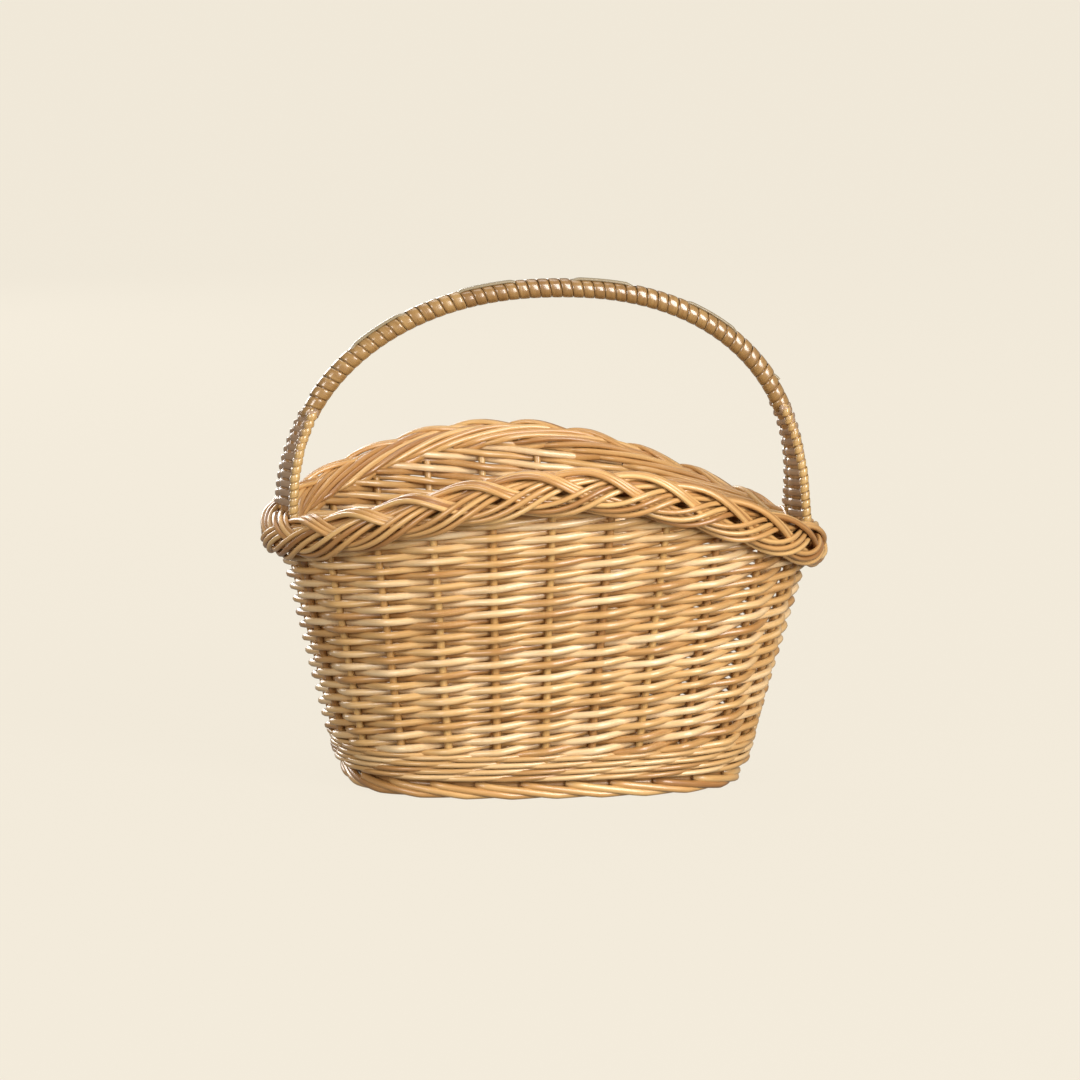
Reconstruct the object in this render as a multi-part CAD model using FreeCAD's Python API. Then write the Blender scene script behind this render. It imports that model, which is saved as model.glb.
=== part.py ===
import FreeCAD, Part

import functools
import math
import os

# An oval willow market basket with a fixed bow handle, in millimetres.
# The origin is on the floor under the middle of the oval. X runs along the length, Y across it
# with the front at -Y, and Z is up.
#
# Every oval here is a superellipse. A place on it is given as a share of the way round, from 0 at
# the right-hand end (+X), counter-clockwise seen from above: 0.25 is the back, 0.5 the left-hand
# end and 0.75 the front.

Vector = FreeCAD.Vector

# Border: the plait round the top, which is low at the ends and high in front and behind.
rim_length = 440.0
rim_width = 336.0
rim_roundness = 2.09
plait_depth = 33.2
plait_height = 33.2
plait_bevel = 7.0
rim_end_height = 186.6
rim_front_height = 243.8
rim_back_height = 239.2
rim_crown = 0.537
rim_tilt = 5.6
end_overhang = 13.0
side_overhang = 16.5
plait_seat = 3.0

# Wall: weaving round upright stakes, leaning outwards.
wall_low_length = 320.4
wall_low_width = 214.0
wall_low_roundness = 2.87
wall_thickness = 15.0
stake_count = 24
stake_diameter = 6.0
stake_bend_radius = 8.0
stake_insert = 32.0
stake_top_gap = 2.5
wale_rounds = 4
wale_round_height = 5.2

# Foot and base.
foot_length = 308.6
foot_width = 206.0
foot_roundness = 2.87
foot_height = 13.0
foot_band = 12.0
base_thickness = 12.5
long_stick_count = 3
long_stick_diameter = 5.0
cross_stick_count = 5
cross_stick_diameter = 8.0
cross_stick_split_wall = 2.0
cross_stick_split_inset = 0.5

# Handle: a bow pushed down into both end walls, two ribs beside each leg, and the cane round them.
bow_diameter = 12.0
bow_tail_diameter = 9.0
bow_top = 378.5
bow_roundness = 2.2
bow_lean = 7.8
bow_insert = 120.0
bow_bend_radius = 120.0
rib_diameter = 7.0
rib_bend_radius = 60.0
rib_insert = 60.0
rib_gap = 1.2
fan_height = 74.0
fan_room = 0.9
cane_thickness = 1.5
leader_width = 6.5
leader_thickness = 1.0
leader_rise = 0.62

# Room between neighbouring pieces.
clearance = 0.3
layer_gap = 0.4

CURVE_POINTS = 48
TABLE_STEPS = 720
HOOP_POINTS = 33
LEG_SECTIONS = 6
FAN_PARTS = (0.33, 0.67, 1)
SHARE_STEP = 0.01
RISE_STEP = 0.001
BEND_ROOM = 0.45

border_a = (rim_length - plait_depth) / 2
border_b = (rim_width - plait_depth) / 2
wall_half = wall_thickness / 2
stake_radius = stake_diameter / 2
rib_radius = rib_diameter / 2
bow_radius = bow_diameter / 2
tail_radius = bow_tail_diameter / 2
low_a = wall_low_length / 2 - wall_half
low_b = wall_low_width / 2 - wall_half
top_a = rim_length / 2 - end_overhang - wall_half
top_b = rim_width / 2 - side_overhang - wall_half
wall_floor = foot_height + layer_gap
wall_drop = plait_seat + layer_gap
base_middle = wall_floor + base_thickness / 2
base_a = low_a - wall_half - layer_gap
base_b = low_b - wall_half - layer_gap


@functools.lru_cache(maxsize=None)
def oval_table(half_length, half_width, roundness):
    """Points round one oval, and the share of the way round that each lies at."""
    points = []
    for step in range(TABLE_STEPS + 1):
        angle = 2 * math.pi * step / TABLE_STEPS
        c, s = math.cos(angle), math.sin(angle)
        x = math.copysign(abs(c) ** (2 / roundness), c) * half_length
        y = math.copysign(abs(s) ** (2 / roundness), s) * half_width
        points.append((x, y))
    way = [0.0]
    for here, there in zip(points, points[1:]):
        way.append(way[-1] + math.dist(here, there))
    return points, [length / way[-1] for length in way]


def oval_point(half_length, half_width, roundness, share):
    """The x and y of the point at that share of the way round an oval."""
    points, shares = oval_table(half_length, half_width, roundness)
    share %= 1
    step = next(i for i in range(TABLE_STEPS) if shares[i + 1] >= share)
    part = (share - shares[step]) / (shares[step + 1] - shares[step])
    (x0, y0), (x1, y1) = points[step], points[step + 1]
    return x0 + (x1 - x0) * part, y0 + (y1 - y0) * part


def border_height(share):
    """Height of the middle of the plait above the floor."""
    x, y = oval_point(border_a, border_b, rim_roundness, share)
    along = x / border_a
    middle = rim_front_height if y < 0 else rim_back_height
    lift = (0.5 + 0.5 * math.cos(math.pi * min(1, abs(along)))) ** rim_crown
    return rim_end_height + (middle - rim_end_height) * lift - rim_tilt * along


def wall_line(share, offset=0):
    """Lower and upper end of the straight line up the wall at that share, offset outwards."""
    x0, y0 = oval_point(low_a + offset, low_b + offset, wall_low_roundness, share)
    x1, y1 = oval_point(top_a + offset, top_b + offset, rim_roundness, share)
    return Vector(x0, y0, wall_floor), Vector(x1, y1, border_height(share) - wall_drop)


def wall_point(share, offset=0, height=None):
    """A point on that line up the wall at the given height, or at its top."""
    low, high = wall_line(share, offset)
    return high if height is None else low + (high - low) * ((height - low.z) / (high.z - low.z))


def closed_curve(point_at):
    """A smooth closed edge through point_at(share) all the way round."""
    curve = Part.BSplineCurve()
    curve.interpolate(
        Points=[point_at(i / CURVE_POINTS) for i in range(CURVE_POINTS)],
        PeriodicFlag=True,
        Parameters=[i / CURVE_POINTS for i in range(CURVE_POINTS + 1)],
    )
    return curve.toShape()


def solid_of(faces):
    """The solid inside faces that close it."""
    shell = Part.makeShell(faces)
    shell.sewShape()
    solid = Part.makeSolid(shell)
    if solid.Volume < 0:
        solid.reverse()
    return solid


def ring(point_functions):
    """A closed ring whose section has a corner on each of these closed curves, in order."""
    curves = [closed_curve(point_at) for point_at in point_functions]
    pairs = zip(curves, curves[1:] + curves[:1])
    return solid_of([Part.makeRuledSurface(one, other) for one, other in pairs])


def wall_band(low_height, high_height):
    """The woven wall between two heights; None means its top edge."""
    corners = [
        (wall_half, low_height),
        (wall_half, high_height),
        (-wall_half, high_height),
        (-wall_half, low_height),
    ]
    return ring([lambda share, c=corner: wall_point(share, *c) for corner in corners])


def border_point(share, outwards, up):
    """A point beside the middle of the plait."""
    x, y = oval_point(border_a + outwards, border_b + outwards, rim_roundness, share)
    return Vector(x, y, border_height(share) + up)


def under_border_point(share, up):
    """A point just outside the top of the wall, where the plait folds down over it."""
    room = wall_half + layer_gap
    x, y = oval_point(top_a + room, top_b + room, rim_roundness, share)
    return Vector(x, y, border_height(share) + up)


def flat_oval(half_length, half_width, roundness, height):
    """A closed flat wire at that height."""
    def point_at(share):
        return Vector(*oval_point(half_length, half_width, roundness, share), height)
    return Part.Wire(closed_curve(point_at))


def bend(before, corner, after, radius=None):
    """Start, middle and end of the arc that rounds a corner between two straight runs.

    With no radius, the arc takes up nearly half of the shorter run.
    """
    to_before, to_after = before - corner, after - corner
    room = BEND_ROOM * min(to_before.Length, to_after.Length)
    half_turn = (math.pi - to_before.getAngle(to_after)) / 2
    to_before.normalize()
    to_after.normalize()
    if radius is None:
        radius = room / math.tan(half_turn)
    back_off = radius * math.tan(half_turn)
    inwards = (to_before + to_after).normalize() * (radius / math.cos(half_turn) - radius)
    return corner + to_before * back_off, corner + inwards, corner + to_after * back_off


def rod_along(edges, radius):
    """A round rod along smoothly joined straight and arc edges."""
    start = edges[0].valueAt(edges[0].FirstParameter)
    along = edges[0].tangentAt(edges[0].FirstParameter)
    section = Part.Wire(Part.makeCircle(radius, start, along))
    rod = Part.Wire(edges).makePipeShell([section], True, False)
    if rod.Volume < 0:
        rod.reverse()
    return rod


def line(start, end):
    return Part.LineSegment(start, end).toShape()


def bent_path(points, radius=None):
    """Straight edges through the points, with a tangent arc at each inner one."""
    edges = []
    start = points[0]
    for before, corner, after in zip(points, points[1:], points[2:]):
        first, middle, last = bend(before, corner, after, radius)
        edges += [line(start, first), Part.Arc(first, middle, last).toShape()]
        start = last
    return edges + [line(start, points[-1])]


def stake_share(number):
    """Stakes stand at equal shares, half a space either side of each end."""
    return (number - 0.5) / stake_count


def stake(number, grow=0.0):
    """An upright with its lower end bent into the base; grow widens it, to cut its channel."""
    share = stake_share(number)
    corner = wall_point(share, height=base_middle)
    before, after = (wall_point(share + step, height=base_middle) for step in (-SHARE_STEP, SHARE_STEP))
    inwards = Vector(0, 0, 1).cross(after - before).normalize()
    tail = corner + inwards * (stake_insert + grow)
    low, high = wall_line(share)
    up = (high - low).normalize()
    top = high + up * stake_diameter if grow else high - up * stake_top_gap
    return rod_along(bent_path([tail, corner, top], stake_bend_radius), stake_radius + grow)


def base_reach(across, half_across, half_along):
    """Half the length of a stick of the base that lies that far from the middle."""
    share = 1 - abs(across / half_across) ** wall_low_roundness
    return half_along * share ** (1 / wall_low_roundness) - layer_gap


def long_stick(number):
    """One of the sticks side by side along the middle of the base."""
    pitch = long_stick_diameter + layer_gap
    y = (number - (long_stick_count + 1) / 2) * pitch
    half = base_reach(y, base_b, base_a)
    return Part.makeCylinder(
        long_stick_diameter / 2, 2 * half, Vector(-half, y, base_middle), Vector(1, 0, 0)
    )


def centred_box(x, y, z, size_x, size_y, size_z):
    corner = Vector(x - size_x / 2, y - size_y / 2, z - size_z / 2)
    return Part.makeBox(size_x, size_y, size_z, corner)


def slit_size():
    """Width and height of the slit that takes all the long sticks."""
    width = long_stick_count * long_stick_diameter + (long_stick_count - 1) * layer_gap
    return width + 2 * clearance, long_stick_diameter + 2 * clearance


def cross_stick_x(number):
    """Cross sticks lie midway between stakes, so that the stakes' ends pass beside them."""
    share = 0.75 + (number - (cross_stick_count + 1) / 2) / stake_count
    return wall_point(share, height=base_middle).x


def cross_stick(number, grow=0.0):
    """A stick across the base, split and spread in the middle round the long sticks."""
    x = cross_stick_x(number)
    half = base_reach(x, base_a, base_b) + (stake_diameter if grow else 0)
    middle_line = line(Vector(x, -half, base_middle), Vector(x, half, base_middle))
    stick = rod_along([middle_line], cross_stick_diameter / 2 + grow)
    slit_width, slit_height = slit_size()
    wall = 2 * (cross_stick_split_wall + grow)
    spread = centred_box(
        x, 0, base_middle,
        cross_stick_diameter - 2 * cross_stick_split_inset + 2 * grow,
        slit_width + wall,
        slit_height + wall,
    )
    stick = stick.fuse(spread).removeSplitter()
    if grow:
        return stick
    slit = centred_box(x, 0, base_middle, 2 * cross_stick_diameter, slit_width, slit_height)
    return stick.cut(slit)


def leg_share(side, beside=0.0):
    """Share of the way round at a handle leg; side is 1 at the right-hand end and -1 at the left."""
    return ((0 if side > 0 else 0.5) + beside) % 1


def plait_top(side):
    """Height just above the plait, all across one handle leg."""
    shares = [leg_share(side, beside) for beside in (-1 / stake_count, 0, 1 / stake_count)]
    return max(border_height(share) for share in shares) + plait_height / 2 + layer_gap


def up_from_wall(share):
    """Where the line up the wall meets the height of the middle of the plait."""
    return wall_point(share, height=border_height(share))


def down_in_wall(share, depth):
    """A point that far down inside the wall from its top."""
    low, high = wall_line(share)
    return high + (low - high).normalize() * depth


def tail_points(side, grow=0.0):
    """Path of one end of the bow: up inside the end wall, then upright through the plait."""
    share = leg_share(side)
    corner = up_from_wall(share)
    top = Vector(corner.x, corner.y, hoop_base() + grow)
    return [down_in_wall(share, bow_insert + grow), corner, top]


@functools.lru_cache(maxsize=None)
def hoop_base():
    """Height at which the hoop starts, over the plait and over the bends at both its ends."""
    heights = []
    for side in (1, -1):
        share = leg_share(side)
        corner = up_from_wall(share)
        bend_end = bend(wall_line(share)[0], corner, corner + Vector(0, 0, 1), bow_bend_radius)[2]
        heights += [bend_end.z + layer_gap, plait_top(side)]
    return max(heights)


def hoop_at(side, rise):
    """Middle of the hoop; rise is 0 where it starts above the plait and 1 at the top."""
    half_span = abs(up_from_wall(leg_share(side)).x)
    x = side * half_span * max(0.0, 1 - rise ** bow_roundness) ** (1 / bow_roundness)
    base = hoop_base()
    return Vector(x + bow_lean * rise ** 2, 0, base + (bow_top - base) * rise)


def hoop_direction(side, rise):
    """Direction of the hoop there, going up and over from the right-hand leg to the left."""
    if rise >= 1:
        return Vector(-1, 0, 0)
    low = hoop_at(side, max(0, rise - RISE_STEP))
    high = hoop_at(side, min(1, rise + RISE_STEP))
    return (high - low).normalize() * side


def hoop_places(rise):
    """Places along the hoop, from that rise at the right-hand side over to the same at the left."""
    start = math.asin(rise ** (bow_roundness / 2))
    places = []
    for i in range(HOOP_POINTS):
        angle = start + (math.pi - 2 * start) * i / (HOOP_POINTS - 1)
        side = 1 if angle <= math.pi / 2 else -1
        places.append((side, min(1.0, math.sin(angle)) ** (2 / bow_roundness)))
    return places


def hoop_rod(radius):
    """A round rod along the whole hoop, from above the plait on one side to the other."""
    return rod_along(bent_path([hoop_at(side, rise) for side, rise in hoop_places(0)]), radius)


def handle_bow():
    """The bow: a full-width hoop, with both ends shaved thinner where they go into the wall."""
    bow = hoop_rod(bow_radius)
    tails = [rod_along(bent_path(tail_points(side), bow_bend_radius), tail_radius) for side in (1, -1)]
    return bow.multiFuse(tails).removeSplitter()


def tail_channel(side):
    path = bent_path(tail_points(side, clearance), bow_bend_radius)
    return rod_along(path, tail_radius + clearance)


def fan_rise():
    """Rise of the hoop at the top of the fanned legs."""
    return fan_height / (bow_top - hoop_base())


def rib_points(side, face, grow=0.0):
    """Path of a rib: beside an end stake in the wall, then closing in on the bow above the plait.

    face is -1 for the front rib and 1 for the back one.
    """
    stakes = [wall_point(leg_share(side, half / stake_count)) for half in (-0.5, 0.5)]
    spacing = stakes[0].distanceToPoint(stakes[1])
    beside = spacing / 2 + stake_radius + rib_gap + rib_radius
    share = leg_share(side, side * face * beside / spacing / stake_count)
    corner = wall_point(share, height=plait_top(side))
    points = [down_in_wall(share, rib_insert + grow), corner]
    closest = face * (bow_radius + rib_radius + clearance)
    top = hoop_at(side, fan_rise()).z
    for part in FAN_PARTS:
        middle = hoop_at(side, fan_rise() * part)
        left_to_go = (top - middle.z) / (top - corner.z)
        points.append(middle + Vector(0, closest + (corner.y - closest) * left_to_go, 0))
    return points


def rib(side, face, grow=0.0):
    return rod_along(bent_path(rib_points(side, face, grow), rib_bend_radius), rib_radius + grow)


def rib_reach(side, height):
    """How far from the middle the ribs of a leg are at that height."""
    points = rib_points(side, 1)[1:]
    for low, high in zip(points, points[1:]):
        if height <= high.z:
            return low.y + (high.y - low.y) * (height - low.z) / (high.z - low.z)
    return points[-1].y


def rounded_slot(centre, along, half_length, half_width):
    """A closed wire round a slot-shaped section: long in Y, with round ends."""
    across = along.cross(Vector(0, 1, 0)).normalize() * half_width
    flat = Vector(0, half_length - half_width, 0)
    tip = Vector(0, half_length, 0)
    corners = [
        centre + flat + across,
        centre - flat + across,
        centre - flat - across,
        centre + flat - across,
    ]
    return Part.Wire([
        line(corners[0], corners[1]),
        Part.Arc(corners[1], centre - tip, corners[2]).toShape(),
        line(corners[2], corners[3]),
        Part.Arc(corners[3], centre + tip, corners[0]).toShape(),
    ])


def leg_section(side, height, grow):
    """Section of the binding round the bow and both ribs; grow is beyond the rods."""
    rise = max(0.0, (height - hoop_base()) / (bow_top - hoop_base()))
    centre = hoop_at(side, rise)
    centre.z = height
    along = hoop_direction(side, rise) * side if rise else Vector(0, 0, 1)
    half_length = rib_reach(side, height) + rib_radius + grow
    return rounded_slot(centre, along, half_length, bow_radius + grow)


def leg_binding(side):
    """The cane sleeve round the fanned leg, from the plait up to the plain hoop."""
    low = plait_top(side)
    high = hoop_at(side, fan_rise()).z
    heights = [low + (high - low) * i / LEG_SECTIONS for i in range(LEG_SECTIONS + 1)]
    outer = [leg_section(side, height, fan_room + cane_thickness) for height in heights]
    inner = [leg_section(side, height, fan_room) for height in heights]
    return Part.makeLoft(outer, True).cut(Part.makeLoft(inner, True))


def handle_lapping():
    """The cane wound round the hoop between the two fans."""
    inner = bow_radius + clearance
    sleeve = hoop_rod(inner + cane_thickness).cut(hoop_rod(inner))
    bottom = hoop_at(1, fan_rise()).z + bow_radius
    above = centred_box(0, 0, bottom + bow_top / 2, rim_length, rim_width, bow_top)
    return sleeve.common(above)


def smooth_edge(points):
    curve = Part.BSplineCurve()
    curve.interpolate(Points=points)
    return curve.toShape()


def handle_leader():
    """The flat strip that runs along the top of the lapping."""
    low = bow_radius + clearance + cane_thickness + clearance
    corners = [(low, -1), (low, 1), (low + leader_thickness, 1), (low + leader_thickness, -1)]
    rows = []
    for outwards, edge in corners:
        row = []
        for side, rise in hoop_places(leader_rise):
            out = hoop_direction(side, rise).cross(Vector(0, 1, 0)) * -1
            row.append(hoop_at(side, rise) + out * outwards + Vector(0, edge * leader_width / 2, 0))
        rows.append(row)
    curves = [smooth_edge(row) for row in rows]
    faces = [Part.makeRuledSurface(a, b) for a, b in zip(curves, curves[1:] + curves[:1])]
    for end in (0, -1):
        corner_points = [row[end] for row in rows]
        faces.append(Part.Face(Part.makePolygon(corner_points + corner_points[:1])))
    return solid_of(faces)


def foot_border():
    """The border under the base that the basket stands on."""
    half_length, half_width = foot_length / 2, foot_width / 2
    outer = Part.Face(flat_oval(half_length, half_width, foot_roundness, 0))
    inner = Part.Face(flat_oval(half_length - foot_band, half_width - foot_band, foot_roundness, 0))
    return outer.cut(inner).Faces[0].extrude(Vector(0, 0, foot_height))


def base_weave():
    """The woven oval of the base, round its sticks and the ends of the stakes."""
    plate = Part.Face(flat_oval(base_a, base_b, wall_low_roundness, wall_floor))
    plate = plate.extrude(Vector(0, 0, base_thickness))
    slit_width, slit_height = slit_size()
    channels = [centred_box(0, 0, base_middle, 3 * base_a, slit_width, slit_height)]
    channels += [cross_stick(number, clearance) for number in numbers(cross_stick_count)]
    return plate.cut(channels + stake_channels)


def rim_plait():
    """The plaited border, one closed ring that folds down over the outside of the wall."""
    out, up = plait_depth / 2, plait_height / 2
    corners = [
        (out - plait_bevel, -up),
        (out, plait_bevel - up),
        (out, up - plait_bevel),
        (out - plait_bevel, up),
        (plait_bevel - out, up),
        (-out, up - plait_bevel),
        (-out, -plait_seat),
    ]
    curves = [lambda share, c=corner: border_point(share, *c) for corner in corners]
    curves.append(lambda share: under_border_point(share, -plait_seat))
    curves.append(lambda share: under_border_point(share, -up))
    return ring(curves).cut(leg_channels)


def numbers(count):
    return range(1, count + 1)


stake_channels = [stake(number, clearance) for number in numbers(stake_count)]
leg_channels = [tail_channel(side) for side in (1, -1)]
leg_channels += [rib(side, face, clearance) for side in (1, -1) for face in (1, -1)]

pieces = {"foot_border": foot_border(), "base_weave": base_weave()}
for number in numbers(long_stick_count):
    pieces[f"base_long_stick_{number}"] = long_stick(number)
for number in numbers(cross_stick_count):
    pieces[f"base_cross_stick_{number}"] = cross_stick(number)
for number in numbers(stake_count):
    pieces[f"stake_{number:02d}"] = stake(number)
for number in numbers(wale_rounds):
    bottom = wall_floor + (number - 1) * (wale_round_height + layer_gap)
    wale = wall_band(bottom, bottom + wale_round_height)
    pieces[f"wale_round_{number}"] = wale.cut(stake_channels)
siding_floor = wall_floor + wale_rounds * (wale_round_height + layer_gap)
pieces["siding"] = wall_band(siding_floor, None).cut(stake_channels + leg_channels)
pieces["rim_plait"] = rim_plait()
pieces["handle_bow"] = handle_bow()
pieces["handle_lapping"] = handle_lapping()
pieces["handle_leader"] = handle_leader()
for side, side_name in ((-1, "left"), (1, "right")):
    pieces[f"leg_binding_{side_name}"] = leg_binding(side)
    for face, face_name in ((-1, "front"), (1, "back")):
        pieces[f"handle_rib_{side_name}_{face_name}"] = rib(side, face)

os.makedirs("parts", exist_ok=True)
for name, shape in pieces.items():
    shape.Solids[0].exportStep(f"parts/{name}.step")
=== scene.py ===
# %% [markdown]
# # A willow market basket
# A basket is built from rods alone. Stakes stand in a woven base, weavers go in and out of the
# stakes, a plait closes the top and a bow handle is pushed down into both ends. The packed model
# gives each of these as a plain solid, in its true place. This lesson grows the rods themselves.

# %% Load the frame
import math

import bpy
import numpy as np
from mathutils import Matrix, Vector


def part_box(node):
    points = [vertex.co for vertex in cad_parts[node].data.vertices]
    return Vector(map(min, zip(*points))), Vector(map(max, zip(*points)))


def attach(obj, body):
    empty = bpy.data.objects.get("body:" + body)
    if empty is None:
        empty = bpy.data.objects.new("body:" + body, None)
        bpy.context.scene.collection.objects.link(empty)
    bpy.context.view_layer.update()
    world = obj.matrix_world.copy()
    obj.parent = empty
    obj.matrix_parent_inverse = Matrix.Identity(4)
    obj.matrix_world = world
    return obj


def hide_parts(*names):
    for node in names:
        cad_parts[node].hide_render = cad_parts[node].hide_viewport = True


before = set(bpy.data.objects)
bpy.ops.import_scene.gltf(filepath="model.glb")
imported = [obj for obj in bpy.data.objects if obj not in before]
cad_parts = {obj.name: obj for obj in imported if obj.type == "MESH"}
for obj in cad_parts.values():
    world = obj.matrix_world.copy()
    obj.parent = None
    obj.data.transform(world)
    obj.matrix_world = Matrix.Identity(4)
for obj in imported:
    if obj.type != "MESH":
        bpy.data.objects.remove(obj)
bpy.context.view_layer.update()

# %% [markdown]
# ## The shape that the rods follow
# Seen from above the basket is a superellipse, an oval with fuller corners. It could be drawn by
# hand as a curve, but then every rod would need its own drawing. Willow is worked by the stake, so
# here a place is given as a share of the way round: 0 is the right-hand end, 0.25 the back, 0.5 the
# left-hand end and 0.75 the front. Stakes are evenly spaced, so each oval is first measured along
# its edge and then read back by its share.
# Lengths are in millimetres, and become metres when a mesh is made.

# %% Ovals
MM = 0.001
STAKES = 24
STAKE_RADIUS = 3.0
LOW_ROUNDNESS = 2.87
HIGH_ROUNDNESS = 2.09
BORDER_HALF_LENGTH, BORDER_HALF_WIDTH = 203.4, 151.4


def oval(half_length, half_width, roundness):
    """Returns a function from share of the way round to x and y."""
    angle = np.linspace(0, 2 * math.pi, 2881)
    c, s = np.cos(angle), np.sin(angle)
    x = np.sign(c) * np.abs(c) ** (2 / roundness) * half_length
    y = np.sign(s) * np.abs(s) ** (2 / roundness) * half_width
    way = np.concatenate([[0], np.cumsum(np.hypot(np.diff(x), np.diff(y)))])
    way /= way[-1]

    def at(share):
        share = np.asarray(share, float) % 1
        return np.stack([np.interp(share, way, x), np.interp(share, way, y)], -1)
    return at


def outwards(oval_at, share):
    """Level direction that points out of an oval."""
    step = oval_at(np.asarray(share) + 0.002) - oval_at(np.asarray(share) - 0.002)
    step /= np.linalg.norm(step, axis=-1, keepdims=True)
    return np.stack([step[..., 1], -step[..., 0], np.zeros(step.shape[:-1])], -1)


border_oval = oval(BORDER_HALF_LENGTH, BORDER_HALF_WIDTH, HIGH_ROUNDNESS)
top_oval = oval(199.5, 144.0, HIGH_ROUNDNESS)
low_oval = oval(152.7, 99.5, LOW_ROUNDNESS)
stake_gap = np.linalg.norm(low_oval(0.5 / STAKES) - low_oval(-0.5 / STAKES))
print("stakes stand", round(float(stake_gap), 1), "mm apart at their feet")

# %% The wall and its border line
WALL_FLOOR = 13.4
WALL_TOP_GAP = 3.4
BASE_MIDDLE = 19.65
PLAIT_DEPTH = 33.2
END_HEIGHT, FRONT_HEIGHT, BACK_HEIGHT = 186.6, 243.8, 239.2
CROWN, END_TILT = 0.537, 5.6


def border_height(share):
    """Height of the middle of the plait: low at the ends, high in front and behind."""
    x, y = np.moveaxis(border_oval(share), -1, 0)
    along = x / BORDER_HALF_LENGTH
    middle = np.where(y < 0, FRONT_HEIGHT, BACK_HEIGHT)
    lift = (0.5 + 0.5 * np.cos(math.pi * np.clip(np.abs(along), 0, 1))) ** CROWN
    return END_HEIGHT + (middle - END_HEIGHT) * lift - END_TILT * along


def wall(share, height, offset=0.0):
    """Points in the wall at those shares and heights, moved outwards by the offset."""
    share, height, offset = np.broadcast_arrays(share, height, offset)
    low, high = low_oval(share), top_oval(share)
    part = ((height - WALL_FLOOR)
            / (border_height(share) - WALL_TOP_GAP - WALL_FLOOR))[..., None]
    flat = low + (high - low) * part
    out = outwards(top_oval, share)
    return np.concatenate([flat, height[..., None]], -1) + out * offset[..., None]


rim_low, rim_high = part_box("rim_plait")
print("border is", round((rim_high[0] - rim_low[0]) / MM, 1), "mm long in the frame and",
      round(2 * BORDER_HALF_LENGTH + PLAIT_DEPTH, 1), "mm by the rule")

# %% [markdown]
# ## A helper that writes node trees
# Shader trees and geometry trees are written the same way: add a node, set it, and say what flows
# into its sockets in order. They could be wired one link at a time, but that takes four lines for
# each node, so a small class does it and keeps the later cells short enough to read.


# %% Nodes
class Nodes:
    """Writes a node tree one node at a time."""

    def __init__(self, tree):
        self.tree = tree

    def add(self, kind, *flows, out=0, **settings):
        node = self.tree.nodes.new(kind)
        for key, value in settings.items():
            setattr(node, key, value)
        sockets = [socket for socket in node.inputs if socket.enabled]
        for socket, value in zip(sockets, flows):
            if isinstance(value, bpy.types.NodeSocket):
                self.tree.links.new(value, socket)
            elif value is not None:
                socket.default_value = value
        outputs = [socket for socket in node.outputs if socket.enabled]
        return outputs[out] if outputs else node

    def math(self, operation, a, b=0.0, c=0.0):
        return self.add("ShaderNodeMath", a, b, c, operation=operation)

    def vector(self, operation, a, b=None):
        return self.add("ShaderNodeVectorMath", a, b, operation=operation)

    def xyz(self, x, y, z):
        return self.add("ShaderNodeCombineXYZ", x, y, z)

    def size(self):
        return f"{self.tree.name} has {len(self.tree.nodes)} nodes"


print("Nodes can:", [name for name in vars(Nodes) if not name.startswith("_")])


# %% Geometry trees
class Growth(Nodes):
    """A Geometry Nodes tree with named inputs."""

    def __init__(self, name, **inputs):
        super().__init__(bpy.data.node_groups.new(name, "GeometryNodeTree"))
        face = self.tree.interface
        face.new_socket("Geometry", in_out="INPUT", socket_type="NodeSocketGeometry")
        for label, kind in inputs.items():
            face.new_socket(label, in_out="INPUT", socket_type="NodeSocket" + kind)
        face.new_socket("Material", in_out="INPUT", socket_type="NodeSocketMaterial")
        face.new_socket("Geometry", in_out="OUTPUT", socket_type="NodeSocketGeometry")
        self.inside = self.tree.nodes.new("NodeGroupInput").outputs

    def named(self, label, kind="FLOAT"):
        return self.add("GeometryNodeInputNamedAttribute", label, data_type=kind)

    def store(self, geometry, label, value, kind="FLOAT"):
        return self.add("GeometryNodeStoreNamedAttribute", geometry, None, label, value,
                        data_type=kind, domain="POINT")

    def close(self, geometry):
        geometry = self.add("GeometryNodeRealizeInstances", geometry)
        geometry = self.add("GeometryNodeSetMaterial", geometry, None, self.inside["Material"])
        self.add("NodeGroupOutput", geometry)


def grow(name, start, growth, **values):
    """Runs a tree on a starting mesh once, and keeps the result as a plain mesh."""
    carrier = bpy.data.objects.new(name, start)
    bpy.context.scene.collection.objects.link(carrier)
    modifier = carrier.modifiers.new("grow", "NODES")
    modifier.node_group = growth.tree
    for item in growth.tree.interface.items_tree:
        if item.in_out == "INPUT" and item.name in values:
            modifier[item.identifier] = values[item.name]
    graph = bpy.context.evaluated_depsgraph_get()
    mesh = bpy.data.meshes.new_from_object(
        carrier.evaluated_get(graph), preserve_all_data_layers=True, depsgraph=graph)
    carrier.modifiers.clear()
    carrier.data = mesh
    mesh.name = name
    mesh.calc_loop_triangles()
    print(f"{name}: {len(mesh.loop_triangles)} triangles")
    return carrier


print("Growth adds:", [name for name in vars(Growth) if not name.startswith("_")])

# %% [markdown]
# ## What willow looks like
# Buff willow is boiled in its bark and then stripped, which stains it honey to orange-brown. Every
# rod has its own shade, streaks run along it, buds leave small dark scars, and the skin is smooth
# enough to shine. Noise in object space would cut across the rods, and a painted picture would
# repeat. The swept rods carry three marks that say where a point is: which rod, how far along it,
# and where round it. The pattern reads those, so the streaks follow every bend.

# %% Willow
BROAD_PER_METRE, FINE_PER_METRE, SCARS_PER_METRE = 16.0, 60.0, 55.0


def between(nodes, value, low, high):
    """Maps a value from low..high onto 0..1, clamped."""
    return nodes.add("ShaderNodeMapRange", value, low, high, 0.0, 1.0)


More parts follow.
